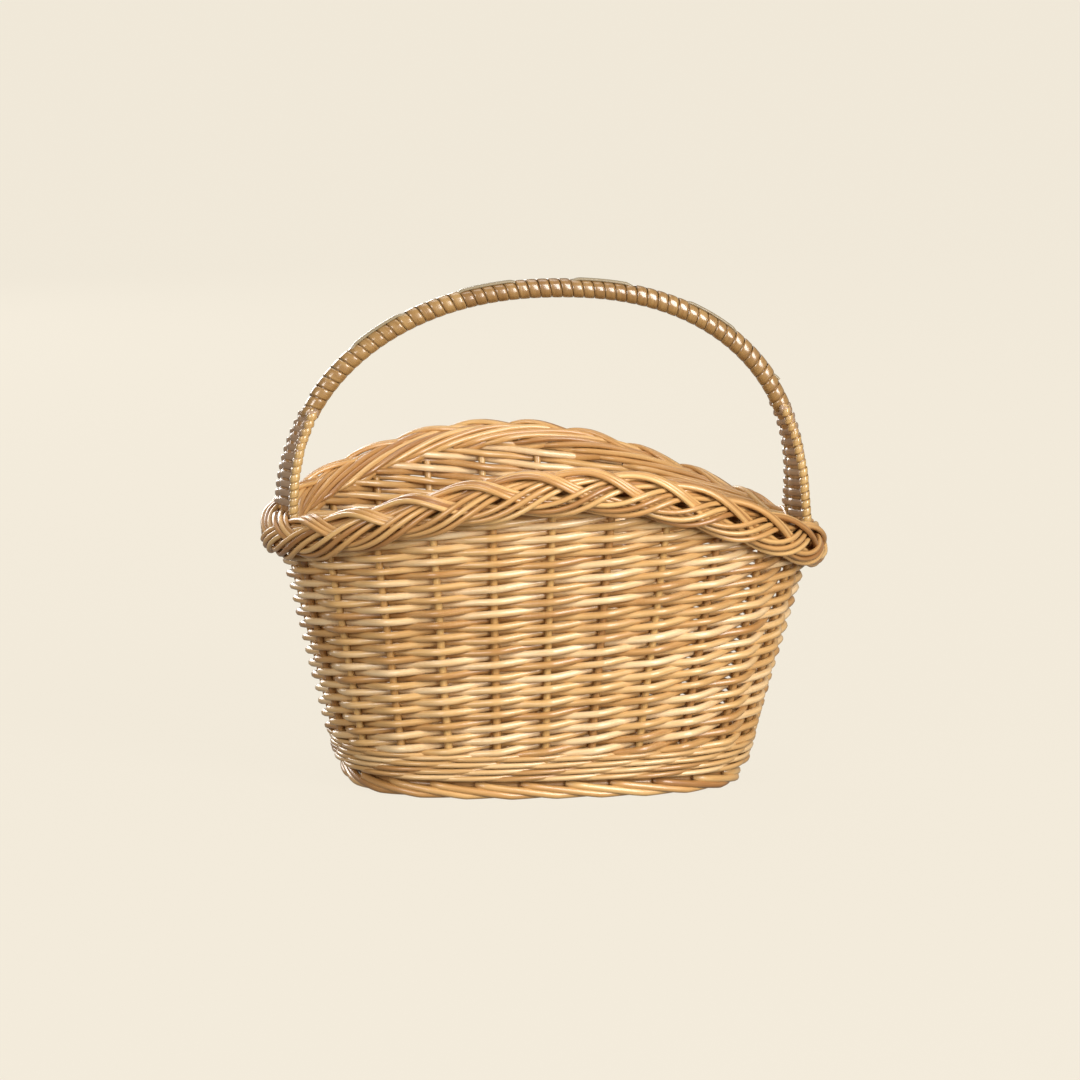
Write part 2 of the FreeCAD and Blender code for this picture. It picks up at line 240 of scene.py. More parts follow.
def rod_pattern(nodes, variety, scars):
    """Shade of the skin from 0 to 1, its fine streaks, and the bud scars on it."""
    rod = nodes.add("ShaderNodeAttribute", attribute_name="rod", out=2)
    along = nodes.add("ShaderNodeAttribute", attribute_name="along", out=2)
    ring = nodes.add("ShaderNodeAttribute", attribute_name="ring", out=1)
    ring_x, ring_y = (nodes.add("ShaderNodeSeparateXYZ", ring, out=axis) for axis in (0, 1))

    def place(per_metre, round_scale, spacing):
        way = nodes.math("MULTIPLY_ADD", rod, spacing, nodes.math("MULTIPLY", along, per_metre))
        return nodes.xyz(nodes.math("MULTIPLY", ring_x, round_scale),
                         nodes.math("MULTIPLY", ring_y, round_scale), way)

    broad = nodes.add("ShaderNodeTexNoise", place(BROAD_PER_METRE, 0.5, 3.7), 1.0, 2.0, 0.6)
    fine = nodes.add("ShaderNodeTexNoise", place(FINE_PER_METRE, 2.6, 3.7), 1.0, 2.5, 0.6)
    own_shade = nodes.add("ShaderNodeTexWhiteNoise", rod, noise_dimensions="1D")
    shade = nodes.math("MULTIPLY_ADD", own_shade, variety, 0.31 - variety / 2)
    shade = nodes.math("MULTIPLY_ADD", broad, 0.62, shade)
    shade = nodes.math("MULTIPLY_ADD", fine, 0.42, shade)
    speck = nodes.add("ShaderNodeTexVoronoi", place(SCARS_PER_METRE, 1.0, 5.3), None, 0.8)
    scar = nodes.math("MULTIPLY", between(nodes, speck, 0.17, 0.07), scars)
    return between(nodes, shade, 0.44, 1.22), fine, scar


def willow(name, pale, middle, dark, shine=0.6, roughness=0.42, scars=0.5, variety=0.62):
    """A glossy rod finish. The colours go from the palest rods to the darkest."""
    material = bpy.data.materials.new(name)
    material.use_nodes = True
    nodes = Nodes(material.node_tree)
    shader = material.node_tree.nodes["Principled BSDF"]
    shade, fine, scar = rod_pattern(nodes, variety, scars)
    ramp = nodes.tree.nodes.new("ShaderNodeValToRGB")
    nodes.tree.links.new(shade, ramp.inputs[0])
    ramp.color_ramp.elements[0].color = (*dark, 1)
    ramp.color_ramp.elements[1].color = (*pale, 1)
    ramp.color_ramp.elements.new(0.5).color = (*middle, 1)
    colour = nodes.add("ShaderNodeMix", scar, ramp.outputs[0], (*(0.3 * v for v in dark), 1),
                       data_type="RGBA")
    nodes.tree.links.new(colour, shader.inputs["Base Color"])
    rough = nodes.math("MULTIPLY_ADD", fine, 0.3, roughness - 0.15)
    nodes.tree.links.new(rough, shader.inputs["Roughness"])
    relief = nodes.math("MULTIPLY_ADD", scar, -1.5, fine)
    bump = nodes.add("ShaderNodeBump", 0.25, 0.0006, None, relief)
    nodes.tree.links.new(bump, shader.inputs["Normal"])
    shader.inputs["Coat Weight"].default_value = shine
    shader.inputs["Coat Roughness"].default_value = 0.17
    return material


print("one finish is made of streaks at", BROAD_PER_METRE, "and", FINE_PER_METRE, "to the metre")

# %% Finishes
weaver_willow = willow("weaver_willow",
                       (0.80, 0.60, 0.36), (0.60, 0.36, 0.135), (0.38, 0.18, 0.05))
wale_willow = willow("wale_willow",
                     (0.74, 0.52, 0.27), (0.53, 0.31, 0.115), (0.34, 0.16, 0.045))
border_willow = willow("border_willow",
                       (0.70, 0.45, 0.18), (0.52, 0.275, 0.09), (0.30, 0.13, 0.035))
stake_willow = willow("stake_willow",
                      (0.62, 0.40, 0.15), (0.47, 0.26, 0.08), (0.32, 0.15, 0.045))
base_willow = willow("base_willow",
                     (0.70, 0.46, 0.20), (0.52, 0.29, 0.09), (0.34, 0.16, 0.045))
handle_willow = willow("handle_willow",
                       (0.42, 0.24, 0.09), (0.30, 0.15, 0.05), (0.18, 0.08, 0.025))
cane = willow("lapping_cane", (0.43, 0.27, 0.10), (0.28, 0.155, 0.052), (0.16, 0.075, 0.025),
              shine=1.0, roughness=0.3, scars=0.1, variety=0.22)
# A brighter, more golden copy of the same cane as the figure of eight, painted as the lit side of
# the legs.
lit_wrapping_cane = willow("wrapping_cane", (0.66, 0.47, 0.19), (0.47, 0.29, 0.105), (0.25, 0.13, 0.04),
                   shine=1.0, roughness=0.3, scars=0.1, variety=0.3)
# A darker, greyer copy of the same cane as the rib wrapping, as painted shade: the figure of eight
# sits in shade behind the lit front rib.
shaded_binding_cane = willow("binding_cane", (0.46, 0.32, 0.20), (0.33, 0.21, 0.125), (0.19, 0.11, 0.06),
                    shine=0.8, roughness=0.34, scars=0.1, variety=0.3)
leader_skin = willow("leader_skin", (0.33, 0.27, 0.17), (0.25, 0.195, 0.115), (0.16, 0.12, 0.07),
                     shine=0.35, roughness=0.4, scars=0.2)
print("finishes:", [material.name for material in bpy.data.materials])

# %% [markdown]
# ## From a line to a rod
# Almost every piece here is a rod that follows a line. A curve with a bevel could do it, but it
# can't mark which rod a point is on. So one tree sweeps them all: it takes chains of points, bends
# them a little as real rods are bent, and puts a marked ring round each chain. A flat cane needs to
# know which way is up, so its chains also carry a facing direction.


# %% Sweeping trees
def sweep(growth, chain, flat=1.0, facing=False):
    """Adds the nodes that turn chains of points into rods with their marks."""
    curve = growth.add("GeometryNodeMeshToCurve", chain)
    if facing:
        up = growth.named("facing", "FLOAT_VECTOR")
        curve = growth.add("GeometryNodeSetCurveNormal", curve, None, up, mode="FREE")
    ring = growth.add("GeometryNodeCurvePrimitiveCircle", growth.inside["Sides"], 1.0)
    place = growth.add("GeometryNodeInputPosition")
    ring = growth.store(ring, "ring", place, "FLOAT_VECTOR")
    flattened = growth.vector("MULTIPLY", place, growth.xyz(flat, 1.0, 1.0))
    ring = growth.add("GeometryNodeSetPosition", ring, None, flattened)
    rods = growth.add("GeometryNodeCurveToMesh", curve, ring, growth.named("thickness"), True)
    return growth.add("GeometryNodeSetShadeSmooth", rods, None, True)


def wander(growth, chain):
    """Adds the nodes that bend the chains a little, the same way on every run."""
    along = growth.math("DIVIDE", growth.named("along"), growth.inside["Bend_length"])
    rod = growth.math("MULTIPLY_ADD", growth.named("rod"), 7.13, growth.inside["Seed"])
    noise = growth.add("ShaderNodeTexNoise", growth.xyz(along, rod, 0.0), 1.0, 1.0, 0.5, out=1)
    shift = growth.vector("SUBTRACT", noise, (0.5, 0.5, 0.5))
    shift = growth.vector("MULTIPLY", shift, growth.xyz(*[growth.inside["Bend"]] * 3))
    return growth.add("GeometryNodeSetPosition", chain, None, None, shift)


def rod_tree(name, flat=1.0, facing=False):
    growth = Growth(name, Sides="Int", Bend="Float", Bend_length="Float", Seed="Float")
    chain = wander(growth, growth.inside["Geometry"])
    growth.close(sweep(growth, chain, flat, facing))
    return growth


rods = rod_tree("rods_along_chains")
canes = rod_tree("canes_along_chains", flat=0.42, facing=True)
strips = rod_tree("strips_along_chains", flat=0.2, facing=True)
print("; ".join(growth.size() for growth in (rods, canes, strips)))


# %% Chains of points
def chain_mesh(name, lines, closed=False):
    """A mesh of points and edges, in metres, from lines of points in millimetres."""
    edges, start = [], 0
    for line in lines:
        size = len(line)
        edges += [(start + i, start + i + 1) for i in range(size - 1)]
        if closed:
            edges.append((start + size - 1, start))
        start += size
    mesh = bpy.data.meshes.new(name)
    mesh.from_pydata((np.concatenate(lines) * MM).tolist(), edges, [])
    return mesh


def chains(name, lines, radii, closed=False, facings=None):
    """Chains with the marks that the sweeping trees read."""
    lines = [np.asarray(line, float) for line in lines]
    mesh = chain_mesh(name, lines, closed)
    steps = [np.linalg.norm(np.diff(line, axis=0), axis=1) for line in lines]
    marks = {
        "thickness": [np.broadcast_to(r, len(line)) * MM for r, line in zip(radii, lines)],
        "rod": [np.full(len(line), float(number)) for number, line in enumerate(lines)],
        "along": [np.concatenate([[0], np.cumsum(step)]) * MM for step in steps],
    }
    for label, values in marks.items():
        data = mesh.attributes.new(label, "FLOAT", "POINT").data
        data.foreach_set("value", np.concatenate(values).astype(np.float32))
    if facings is not None:
        data = mesh.attributes.new("facing", "FLOAT_VECTOR", "POINT").data
        data.foreach_set("vector", np.concatenate(facings).astype(np.float32).ravel())
    return mesh


def make_rods(name, lines, radii, material, closed=False, sides=10, bend=0.8, bend_length=0.05,
              seed=1.0):
    return grow(name, chains(name, lines, radii, closed), rods, Sides=sides, Bend=bend * MM,
                Bend_length=bend_length, Seed=seed, Material=material)


def make_canes(name, lines, radii, facings, material, seed, bend=0.2, tree=canes):
    return grow(name, chains(name, lines, radii, facings=facings), tree, Sides=10,
                Bend=bend * MM, Bend_length=0.02, Seed=seed, Material=material)


draw = np.random.default_rng(41)
print("rods have 8 to 12 sides, and canes 10")

# %% [markdown]
# ## Stakes
# Twenty-four stakes are pushed into the woven base, turned up sharply and carried to the border.
# They could stay as the frame's plain rods, but a real stake swells, thins and is never quite
# straight, and the weaving shows each one between its strokes. So each is a chain from deep in the
# base to just under the border, swept with a radius that shrinks towards its tip.

# %% Stakes
STAKE_REACHES = (32, 20, 9)
STAKE_BEND = 2.6
STAKE_POINTS = 16


def stake_line(number):
    share = (number - 0.5) / STAKES
    foot = wall(share, BASE_MIDDLE)
    inwards = -outwards(low_oval, share)
    up = wall(share, np.linspace(BASE_MIDDLE + 9, float(border_height(share)) - 6, STAKE_POINTS))
    tail = [foot + inwards * reach for reach in STAKE_REACHES]
    corner = foot + inwards * STAKE_BEND + [0, 0, STAKE_BEND]
    return np.concatenate([tail, [corner], up])


stake_lines = [stake_line(number) for number in range(1, STAKES + 1)]
stake_radii = [np.linspace(3.15, 2.75, len(line)) * draw.uniform(0.95, 1.05)
               for line in stake_lines]
stakes = make_rods("stakes", stake_lines, stake_radii, stake_willow, bend=1.6, bend_length=0.09)
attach(stakes, "root")
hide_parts(*[f"stake_{number:02d}" for number in range(1, STAKES + 1)])

# %% [markdown]
# ## Siding
# The wall is French randing: one weaver starts at every stake, goes in front of one stake and
# behind the next, and climbs one row for each stake it passes. Its points could be worked out in
# Python, but the whole wall is one rule, so the tree holds it. A long mesh line is numbered, the
# number gives the weaver and how many stakes it has passed, and that gives the share of the way
# round, the height and whether it is out in front or behind.
# A willow rod is stiff, so it runs nearly straight from one stake to the next and turns only where
# it rounds one. What rises above the border's line is cut off.


# %% Numbering the weavers
def numbered_weavers(growth):
    """Points cut into weavers, each marked with its weaver and the stakes passed so far."""
    value = growth.inside
    index = growth.add("GeometryNodeInputIndex")
    length = growth.math("MULTIPLY_ADD", value["Stakes_passed"], value["Steps"], 1.0)
    line = growth.add("GeometryNodeMeshLine", growth.math("MULTIPLY", length, float(STAKES)))

    def weaver_of(point):
        return growth.math("FLOOR", growth.math("DIVIDE", growth.math("ADD", point, 0.5), length))

    weaver = weaver_of(index)
    step = growth.math("SUBTRACT", index, growth.math("MULTIPLY", weaver, length))
    passed = growth.math("SUBTRACT", growth.math("DIVIDE", step, value["Steps"]),
                         value["Start_before"])
    line = growth.store(line, "rod", weaver)
    line = growth.store(line, "passed", passed)
    ends = [growth.add("GeometryNodeInputMeshEdgeVertices", out=out) for out in (0, 1)]
    jump = growth.add("FunctionNodeCompare", *[weaver_of(end) for end in ends],
                      data_type="FLOAT", operation="NOT_EQUAL")
    return growth.add("GeometryNodeDeleteGeometry", line, jump, domain="EDGE", mode="EDGE_FACE")


print("the wall has", STAKES, "weavers, told apart by their points' index")

# %% Where a weaver runs
STIFFNESS = 0.95
UNEVEN_ROWS = 0.55
HIDE_OVER = 0.006
HIDDEN_SWING = 0.2


def in_the_wall(growth, round_trip, rise):
    """The middle of the wall at that share and height, the way out, and the border's height."""
    share = growth.math("FRACT", growth.math("DIVIDE", round_trip, float(STAKES)))
    low = growth.add("GeometryNodeMeshToCurve", growth.inside["Geometry"])
    high = growth.add("GeometryNodeMeshToCurve", growth.add(
        "GeometryNodeObjectInfo", growth.inside["Top_line"], out=4))
    (foot, foot_run), (head, head_run) = (
        [growth.add("GeometryNodeSampleCurve", guide, None, share, mode="FACTOR", out=out)
         for out in (1, 2)] for guide in (low, high))
    foot_z, head_z = (growth.add("ShaderNodeSeparateXYZ", spot, out=2) for spot in (foot, head))
    part = growth.math("DIVIDE", growth.math("SUBTRACT", rise, foot_z),
                       growth.math("SUBTRACT", head_z, foot_z))
    middle = growth.add("ShaderNodeMix", part, foot, head, data_type="VECTOR",
                        clamp_factor=False)
    run = growth.add("ShaderNodeMix", part, foot_run, head_run, data_type="VECTOR",
                     clamp_factor=True)
    out = growth.vector("NORMALIZE", growth.vector("CROSS_PRODUCT", run, (0.0, 0.0, 1.0)))
    return middle, out, head_z


def in_and_out(growth, passed, below_border):
    """How far out of the wall's middle a weaver is. It lies flatter where the border hides it."""
    swing = growth.math("COSINE", growth.math("MULTIPLY", passed, math.pi))
    swing = growth.math("ARCSINE", growth.math("MULTIPLY", swing, STIFFNESS))
    swing = growth.math("MULTIPLY", growth.math("DIVIDE", swing, math.asin(STIFFNESS)),
                        growth.inside["Swing"])
    return growth.math("MULTIPLY", swing, growth.add(
        "ShaderNodeMapRange", below_border, -HIDE_OVER, HIDE_OVER, HIDDEN_SWING, 1.0))


def uneven_rows(growth, passed, round_trip):
    """Rows climbed so far, a little uneven as packed rows are."""
    place = growth.xyz(growth.math("MULTIPLY", round_trip, 0.7),
                       growth.math("MULTIPLY", passed, 0.45), growth.inside["Seed"])
    noise = growth.add("ShaderNodeTexNoise", place, 1.0, 1.0)
    noise = growth.math("MULTIPLY", growth.math("SUBTRACT", noise, 0.5), UNEVEN_ROWS)
    return growth.math("ADD", passed, noise)


print("a weaver is straight over", round(100 * STIFFNESS), "% of its swing")

# %% Siding tree
METRES_PER_STAKE = 0.047
BEHIND_BORDER = 0.0055
THINNEST, THICKEST = 0.94, 1.07


def randing_tree():
    growth = Growth("french_randing", Top_line="Object", Steps="Int", Stakes_passed="Float",
                    Start_before="Float", Floor="Float", Row="Float", Weaver="Float",
                    Swing="Float", Sides="Int", Bend="Float", Bend_length="Float", Seed="Float")
    line = numbered_weavers(growth)
    rod, passed = growth.named("rod"), growth.named("passed")
    round_trip = growth.math("ADD", rod, growth.math("SUBTRACT", passed, 0.5))
    rise = growth.math("MULTIPLY_ADD", uneven_rows(growth, passed, round_trip),
                       growth.inside["Row"], growth.inside["Floor"])
    middle, out, head_z = in_the_wall(growth, round_trip, rise)
    swing = in_and_out(growth, passed, growth.math("SUBTRACT", head_z, rise))
    offset = growth.vector("MULTIPLY", out, growth.xyz(swing, swing, swing))
    line = growth.add("GeometryNodeSetPosition", line, None, growth.vector("ADD", middle, offset))
    size = growth.add("FunctionNodeRandomValue", THINNEST, THICKEST, rod, 3, data_type="FLOAT")
    wave = growth.add("ShaderNodeTexNoise", growth.xyz(passed, rod, 4.0), 0.6, 1.0)
    girth = growth.math("MULTIPLY", size, growth.math("MULTIPLY_ADD", wave, 0.24, 0.88))
    line = growth.store(line, "thickness", growth.math("MULTIPLY", girth,
                                                       growth.inside["Weaver"]))
    line = growth.store(line, "along", growth.math("MULTIPLY", passed, METRES_PER_STAKE))
    tall = growth.add("FunctionNodeCompare", rise, growth.math("ADD", head_z, BEHIND_BORDER),
                      data_type="FLOAT", operation="GREATER_THAN")
    line = growth.store(line, "cut", tall)
    line = growth.add("GeometryNodeDeleteGeometry", line,
                      growth.add("FunctionNodeCompare", growth.named("cut"), 0.5,
                                 data_type="FLOAT", operation="GREATER_THAN"), domain="POINT")
    growth.close(sweep(growth, wander(growth, line)))
    return growth


randing = randing_tree()
print(randing.size())

# %% Siding
GUIDE = np.arange(720) / 720
SIDING_FLOOR = 35.8
WEAVER_RADIUS = 2.8
WEAVER_SQUEEZE = 0.4
ROW = 4.95
low_line = chain_mesh("low_line", [wall(GUIDE, WALL_FLOOR)], closed=True)
top_line = bpy.data.objects.new("top_line", chain_mesh(
    "top_line", [wall(GUIDE, border_height(GUIDE) - WALL_TOP_GAP)], closed=True))
bpy.context.scene.collection.objects.link(top_line)
siding = grow("siding_weave", low_line, randing, Top_line=top_line, Steps=9, Stakes_passed=42.0,
              Start_before=0.9, Floor=(SIDING_FLOOR + WEAVER_RADIUS) * MM, Row=ROW * MM,
              Weaver=WEAVER_RADIUS * MM,
              Swing=(STAKE_RADIUS + WEAVER_RADIUS - WEAVER_SQUEEZE) * MM, Sides=8,
              Bend=0.7 * MM, Bend_length=0.07, Seed=2.0, Material=weaver_willow)
bpy.data.objects.remove(top_line)
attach(siding, "root")
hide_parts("siding")

# %% [markdown]
# ## Upsett
# Below the siding, rounds of three-rod wale hold the stakes upright. Each rod passes in front of
# two stakes and behind the third, so the outside shows long slanting strokes that overlap.
# A twisted rope would look alike from afar, but its strokes don't line up with the stakes, so each
# rod is a closed chain whose swing and climb repeat every three stakes.

# %% Upsett
WALE_ROUNDS, WALE_RODS = 4, 3
WALE_RADIUS = 2.0
WALE_START, WALE_ROUND_HEIGHT = 4.1, 5.2
WALE_SWING, WALE_PROUD = 4.6, 0.6
STROKE_CLIMB = 2.0
TUCKED = 0.12


def wale_lines():
    lines = []
    share = np.arange(STAKES * 9) / (STAKES * 9)
    for number in range(WALE_ROUNDS):
        for rod in range(WALE_RODS):
            phase = (share * STAKES + 0.5 - rod - 0.4 * number) / WALE_RODS % 1
            swing = np.cos(2 * math.pi * phase)
            swing = -np.sign(swing) * np.abs(swing) ** 0.8
            slope = (phase - 0.5) / (0.5 - TUCKED)
            slope = np.where(phase > 1 - TUCKED, (1 - phase) / TUCKED, slope)
            slope = np.where(phase < TUCKED, -phase / TUCKED, slope)
            height = WALL_FLOOR + WALE_START + number * WALE_ROUND_HEIGHT + STROKE_CLIMB * slope
            lines.append(wall(share, height, WALE_SWING * swing + WALE_PROUD))
    return lines


wale = make_rods("upsett_wale", wale_lines(), [WALE_RADIUS] * WALE_ROUNDS * WALE_RODS,
                 wale_willow, closed=True, sides=8, bend=0.9, seed=5.0)
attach(wale, "root")
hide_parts(*[f"wale_round_{number}" for number in range(1, WALE_ROUNDS + 1)])

# %% [markdown]
# ## Foot border
# The ends of the stakes' by-rods are laid down under the base, each over the next ones, so that the
# basket stands on a twisted ring of long slanting rods instead of on its weaving. One swept ring
# with a bump pattern would look flat at the outline, so each rod is its own chain: it starts under
# the lowest wale, falls to the floor past the next stakes and tucks in under the ring.

# %% Foot border
FOOT_RODS_PASS = 2.7
FOOT_POINTS = 34
FOOT_START, FOOT_FALL = 11.4, 4.7
FOOT_LOW, FOOT_RISE, FOOT_LOW_AT = 3.1, 0.5, 1.9
FOOT_PROUD, FOOT_START_TUCK, FOOT_END_TUCK, FOOT_TUCK_AT = 1.6, 3.4, 5.0, 1.5
FILLING_HEIGHT, FILLING_INSET, FILLING_RADIUS = 9.6, 8.0, 4.6
foot_oval = oval(149.2, 97.9, LOW_ROUNDNESS)


def foot_line(number):
    passed = np.linspace(0, FOOT_RODS_PASS, FOOT_POINTS)
    share = (passed - number) / STAKES
    height = np.maximum(FOOT_START - FOOT_FALL * passed,
                        FOOT_LOW + FOOT_RISE * (passed - FOOT_LOW_AT))
    tuck = np.clip(passed - FOOT_TUCK_AT, 0, None)
    bulge = (FOOT_PROUD - FOOT_START_TUCK * np.exp(-(passed / 0.16) ** 2)
             - FOOT_END_TUCK * tuck ** 1.5)
    points = np.concatenate([foot_oval(share), height[:, None]], 1)
    return points + outwards(foot_oval, share) * bulge[:, None]


foot_ring = np.linspace(0, 1.004, 120)
foot_filling = np.concatenate([foot_oval(foot_ring), np.full((120, 1), FILLING_HEIGHT)], 1)
foot_filling -= outwards(foot_oval, foot_ring) * FILLING_INSET
foot_radii = [draw.uniform(2.85, 3.1) * (1 - 0.15 * np.linspace(0, 1, FOOT_POINTS) ** 3)
              for _ in range(STAKES)]
for radii in foot_radii:
    radii[0] *= 0.55
foot = make_rods("foot_border_rods", [foot_line(k) for k in range(STAKES)] + [foot_filling],
                 foot_radii + [FILLING_RADIUS], border_willow, bend=0.3, seed=7.0)
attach(foot, "root")
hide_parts("foot_border")

# %% [markdown]
# ## Base
# An oval base starts from a few thick cross sticks, split to let the long sticks pass through.
# Weavers go round and round them, over one and under the next, until the oval is wide enough.
# A flat disc with a picture of weaving would do from far away, but the base is seen from above
# through the open top. The weavers are closed ovals here, one inside the other, whose rise and fall
# repeats at the stakes: simpler than a spiral, and it looks the same.

# %% Base sticks
BASE_HALF_LENGTH, BASE_HALF_WIDTH = 144.8, 91.6
STICK_END_GAP = 1.5
LONG_STICK_PLACES = (-5.4, 0.0, 5.4)
LONG_STICK_RADIUS, CROSS_STICK_RADIUS = 2.5, 4.3


def base_reach(across, half_across, half_along):
    """How far a stick reaches from the middle, when it lies that far off the centre line."""
    share = abs(across / half_across) ** LOW_ROUNDNESS
    return half_along * (1 - share) ** (1 / LOW_ROUNDNESS) - STICK_END_GAP


long_lines, cross_lines = [], []
for y in LONG_STICK_PLACES:
    reach = base_reach(y, BASE_HALF_WIDTH, BASE_HALF_LENGTH)
    long_lines.append([(x, y, BASE_MIDDLE) for x in np.linspace(-reach, reach, 40)])
for number in range(-2, 3):
    x = float(wall(0.75 + number / STAKES, BASE_MIDDLE)[0])
    reach = base_reach(x, BASE_HALF_LENGTH, BASE_HALF_WIDTH)
    cross_lines.append([(x, y, BASE_MIDDLE) for y in np.linspace(-reach, reach, 30)])
stick_radii = [LONG_STICK_RADIUS] * len(long_lines) + [CROSS_STICK_RADIUS] * len(cross_lines)
sticks = make_rods("base_sticks", long_lines + cross_lines, stick_radii, base_willow,
                   bend=0.6, seed=9.0)
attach(sticks, "root")
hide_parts(*[f"base_long_stick_{k}" for k in (1, 2, 3)],
            *[f"base_cross_stick_{k}" for k in range(1, 6)])

# %% Base weave
BASE_ROUNDS = 17
BASE_WEAVER_RADIUS = 2.85
FIRST_INSET, ROUND_STEP = 2.5, 4.9
BASE_SWING = 4.2


def base_lines():
    lines = []
    share = np.arange(STAKES * 8) / (STAKES * 8)
    for number in range(BASE_ROUNDS):
        inset = FIRST_INSET + number * ROUND_STEP
        round_oval = oval(BASE_HALF_LENGTH - inset, BASE_HALF_WIDTH - inset,
                          LOW_ROUNDNESS - 0.02 * number)
        swing = np.cos(math.pi * STAKES * (share - 0.25)) * (1 if number % 2 else -1)
        height = BASE_MIDDLE + BASE_SWING * swing
        lines.append(np.concatenate([round_oval(share), height[:, None]], 1))
    return lines


base = make_rods("base_rounds", base_lines(), [BASE_WEAVER_RADIUS] * BASE_ROUNDS, base_willow,
                 closed=True, sides=8, bend=0.9, seed=11.0)
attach(base, "root")
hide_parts("base_weave")

# %% [markdown]
# ## Plaited border
# Groups of three rods are plaited round the top and folded down over the outside of the wall. A
# twisted tube would be quicker, but a plait's strands change places, which a twist's never do. In a
# flat plait of five strands, each strand goes from edge to edge as a sine. It lies over the others
# on its way from an edge to the middle, and under them from there on: a sine of twice the speed.
# Here the plait's face is bent round the wall's top edge, from below the border to just over it.

# %% Round the border's top edge
PLAIT_OUT, PLAIT_UP = 12.4, 13.4


def plait_point(share, face, lift=0.0, half=PLAIT_OUT):
    """A point beside the middle of the border: face 0 is straight out and pi / 2 straight up."""
    outward = (half + lift) * np.cos(face)
    upward = (PLAIT_UP + lift) * np.sin(face)
    flat = border_oval(share) + outwards(border_oval, share)[:, :2] * outward[:, None]
    return np.concatenate([flat, (border_height(share) + upward)[:, None]], 1)


print("the plait is", 2 * PLAIT_OUT, "mm by", 2 * PLAIT_UP, "mm without its rods' thickness")

# %% Strands
STRANDS = 5
STRAND_RODS = (-1, 0, 1)
ACROSS, MIDDLE_FACE = 17.2, 0.26
OVER_AND_UNDER, ROD_STEP_DOWN = 3.6, 0.4
ROD_LAG = 0.07
SPREAD, SPREAD_CHANGE, SPREAD_WAVES = 4.5, 0.5, 7


def strand_lines():
    lines = []
    share = np.arange(STRANDS ** 2 * 14) / (STRANDS ** 2 * 14)
    for strand in range(STRANDS):
        for rod in STRAND_RODS:
            turn = 2 * math.pi * (STRANDS * share + strand / STRANDS) + ROD_LAG * rod
            spread = SPREAD + SPREAD_CHANGE * np.sin(2 * math.pi * SPREAD_WAVES * share + strand)
            across = ACROSS * np.sin(turn) + rod * spread
            lift = -OVER_AND_UNDER * np.sin(2 * turn) - ROD_STEP_DOWN * rod
            lines.append(plait_point(share, MIDDLE_FACE + across / PLAIT_UP, lift))
    return lines


plait_lines = strand_lines()
plait = make_rods("rim_plait_rods", plait_lines, draw.uniform(1.95, 2.2, len(plait_lines)),
                  border_willow, closed=True, sides=9, bend=1.3, bend_length=0.05, seed=13.0)

# %% [markdown]
# ## The inside of the border
# The stakes' own ends leave the wall one after the other, lie along the inside of the border and go
# over its top into the plait. A plain core would fill the plait just as well, but it would show
# inside the basket, where these ends are seen. Three thicker rods wind along the middle, where
# nothing shows, so that no light comes through.

# %% Rods inside the border
INSIDE_REACH = 3.1
INSIDE_HALF, INSIDE_RADIUS = 13.8, 2.25
LEAVES_WALL, CLIMBS = 182, 114
BURIED, BURIED_LENGTH = 7.0, 0.07
CORE_RODS, CORE_RADIUS, CORE_DEPTH = 3, 4.4, -6.4


def inside_lines():
    passed = np.linspace(0, 1, 34)
    lines = []
    for number in range(2 * STAKES):
        share = (number / 2 - INSIDE_REACH * passed) / STAKES
        face = np.radians(LEAVES_WALL - CLIMBS * passed ** 0.9)
        ends = (np.exp(-(passed / BURIED_LENGTH) ** 2)
                + np.exp(-((1 - passed) / BURIED_LENGTH) ** 2))
        lift = 1.1 * np.sin(9 * passed + number) - 0.3 - BURIED * ends
        lines.append(plait_point(share, face, lift, INSIDE_HALF))
    return lines


def core_lines():
    share = np.linspace(0, 1.004, 150)
    return [plait_point(share, 50 * share + 2.1 * rod, CORE_DEPTH) for rod in range(CORE_RODS)]


inside_radii = [INSIDE_RADIUS] * (2 * STAKES) + [CORE_RADIUS] * CORE_RODS
filling = make_rods("rim_inside_rods", inside_lines() + core_lines(), inside_radii,
                    border_willow, bend=1.0, seed=14.0)
for piece in (plait, filling):
    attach(piece, "root")
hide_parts("rim_plait")
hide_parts("rim_plait")

# %% [markdown]
# ## Bow handle
# One thick rod makes the hoop. A maker cuts its two ends to a long taper, a slype, and pushes them
# down inside the end walls. A thinner rib on each side of each leg spreads the load. A torus and
# some cylinders would need joining where they meet, so all five are swept from chains like the
# rest, and the hoop's radius falls towards its ends for the slypes.

# %% Hoop
HOOP_BASE, HOOP_TOP = 212.0, 378.5
HOOP_HALF_LENGTH, HOOP_ROUNDNESS, HOOP_LEAN = 200.4, 2.2, 7.8
HOOP_RADIUS = 6.0
TAIL_END, TAIL_POINTS = 96, 8
SLYPE_RADII = np.linspace(1.6, 3.0, TAIL_POINTS)
END_SHARE = {1: 0.0, -1: 0.5}
end_height = {side: float(border_height(share)) for side, share in END_SHARE.items()}


def hoop(angle):
    """The middle of the hoop: angle 0 is the right-hand foot and pi the left-hand one."""
    rise = np.sin(angle) ** (2 / HOOP_ROUNDNESS)
    x = (np.sign(np.cos(angle)) * HOOP_HALF_LENGTH
         * np.abs(np.cos(angle)) ** (2 / HOOP_ROUNDNESS))
    return np.stack([x + HOOP_LEAN * rise ** 2, 0 * rise,
                     HOOP_BASE + (HOOP_TOP - HOOP_BASE) * rise], -1)


def hoop_x(side, rise):
    """How far along the basket a leg of the hoop stands at a share of the hoop's rise."""
    return (side * HOOP_HALF_LENGTH * (1 - rise ** HOOP_ROUNDNESS) ** (1 / HOOP_ROUNDNESS)
            + HOOP_LEAN * rise ** 2)


